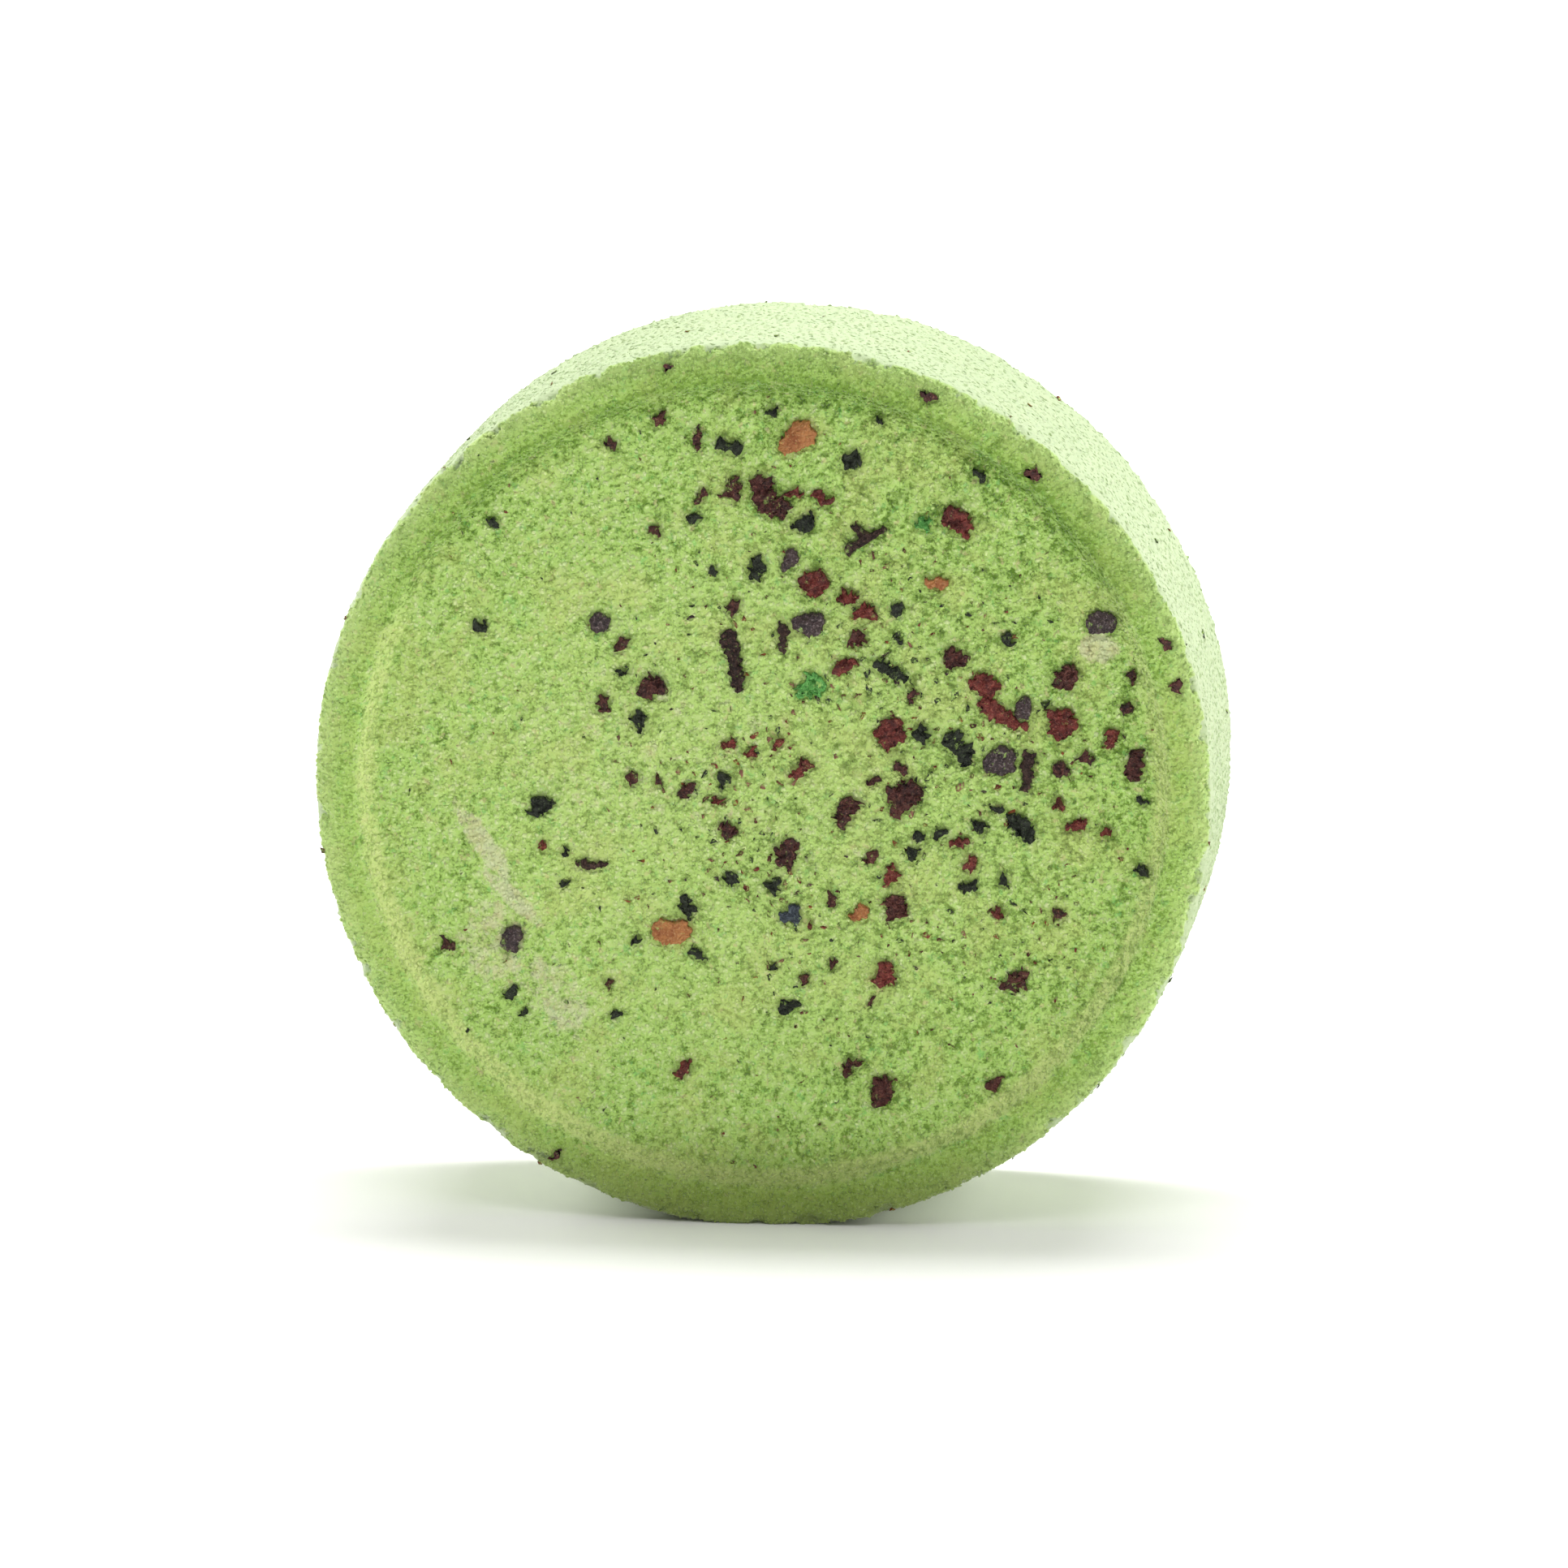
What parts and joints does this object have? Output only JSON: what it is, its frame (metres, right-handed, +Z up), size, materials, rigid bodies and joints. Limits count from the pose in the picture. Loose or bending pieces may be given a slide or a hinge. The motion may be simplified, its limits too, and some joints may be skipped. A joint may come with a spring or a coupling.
{
  "type": "soap puck",
  "caption": "Round puck of coarse pressed green soap standing on edge, with a raised rim round a shallow recessed face set with dried plant chips.",
  "frame": {"origin": "on the surface the puck stands on, under the middle of its bounding box: midway through its thickness and across its width", "axes": "+Z up, +Y along the puck's axis from the recessed front face towards the back face, +X to the right seen from the front"},
  "size_m": [0.068, 0.022, 0.0676],
  "materials": {
    "pressed_soap": "coarse pressed grain, dry and matte",
    "orange_peel": "dried peel, waxy satin",
    "rosehip": "dried fruit skin, satin",
    "hibiscus": "dried petal, dull",
    "tea_leaf": "dried leaf, dull",
    "seed_husk": "thin husk, slight sheen",
    "stalk": "dried stalk, dull",
    "petal": "dried petal, matte",
    "green_granule": "coarse coloured grain, matte"
  },
  "bodies": {
    "root": {"puck_body": "pressed_soap", "black_crumbs": "tea_leaf", "forked_stalk": "stalk", "green_granule_1": "green_granule", "green_granule_2": "green_granule", "hibiscus_chip_1": "hibiscus", "hibiscus_chip_10": "hibiscus", "hibiscus_chip_11": "hibiscus", "hibiscus_chip_12": "hibiscus", "hibiscus_chip_13": "hibiscus", "hibiscus_chip_14": "hibiscus", "hibiscus_chip_2": "hibiscus", "hibiscus_chip_3": "hibiscus", "hibiscus_chip_4": "hibiscus", "hibiscus_chip_5": "hibiscus", "hibiscus_chip_6": "hibiscus", "hibiscus_chip_7": "hibiscus", "hibiscus_chip_8": "hibiscus", "hibiscus_chip_9": "hibiscus", "maroon_crumbs": "hibiscus", "orange_peel_chip_1": "orange_peel", "orange_peel_chip_2": "orange_peel", "orange_peel_chip_3": "orange_peel", "orange_peel_chip_4": "orange_peel", "petal_flake": "petal", "red_crumbs": "rosehip", "rim_crumbs": "hibiscus", "rosehip_chip_1": "rosehip", "rosehip_chip_10": "rosehip", "rosehip_chip_11": "rosehip", "rosehip_chip_2": "rosehip", "rosehip_chip_3": "rosehip", "rosehip_chip_4": "rosehip", "rosehip_chip_5": "rosehip", "rosehip_chip_6": "rosehip", "rosehip_chip_7": "rosehip", "rosehip_chip_8": "rosehip", "rosehip_chip_9": "rosehip", "seed_husk_1": "seed_husk", "seed_husk_2": "seed_husk", "seed_husk_3": "seed_husk", "seed_husk_4": "seed_husk", "seed_husk_5": "seed_husk", "seed_husk_6": "seed_husk", "seed_husk_7": "seed_husk", "stalk_sliver_1": "stalk", "stalk_sliver_2": "stalk", "stalk_sliver_3": "stalk", "stalk_sliver_4": "stalk", "tea_leaf_flake_1": "tea_leaf", "tea_leaf_flake_10": "tea_leaf", "tea_leaf_flake_11": "tea_leaf", "tea_leaf_flake_2": "tea_leaf", "tea_leaf_flake_3": "tea_leaf", "tea_leaf_flake_4": "tea_leaf", "tea_leaf_flake_5": "tea_leaf", "tea_leaf_flake_6": "tea_leaf", "tea_leaf_flake_7": "tea_leaf", "tea_leaf_flake_8": "tea_leaf", "tea_leaf_flake_9": "tea_leaf"}
  },
  "joints": []
}
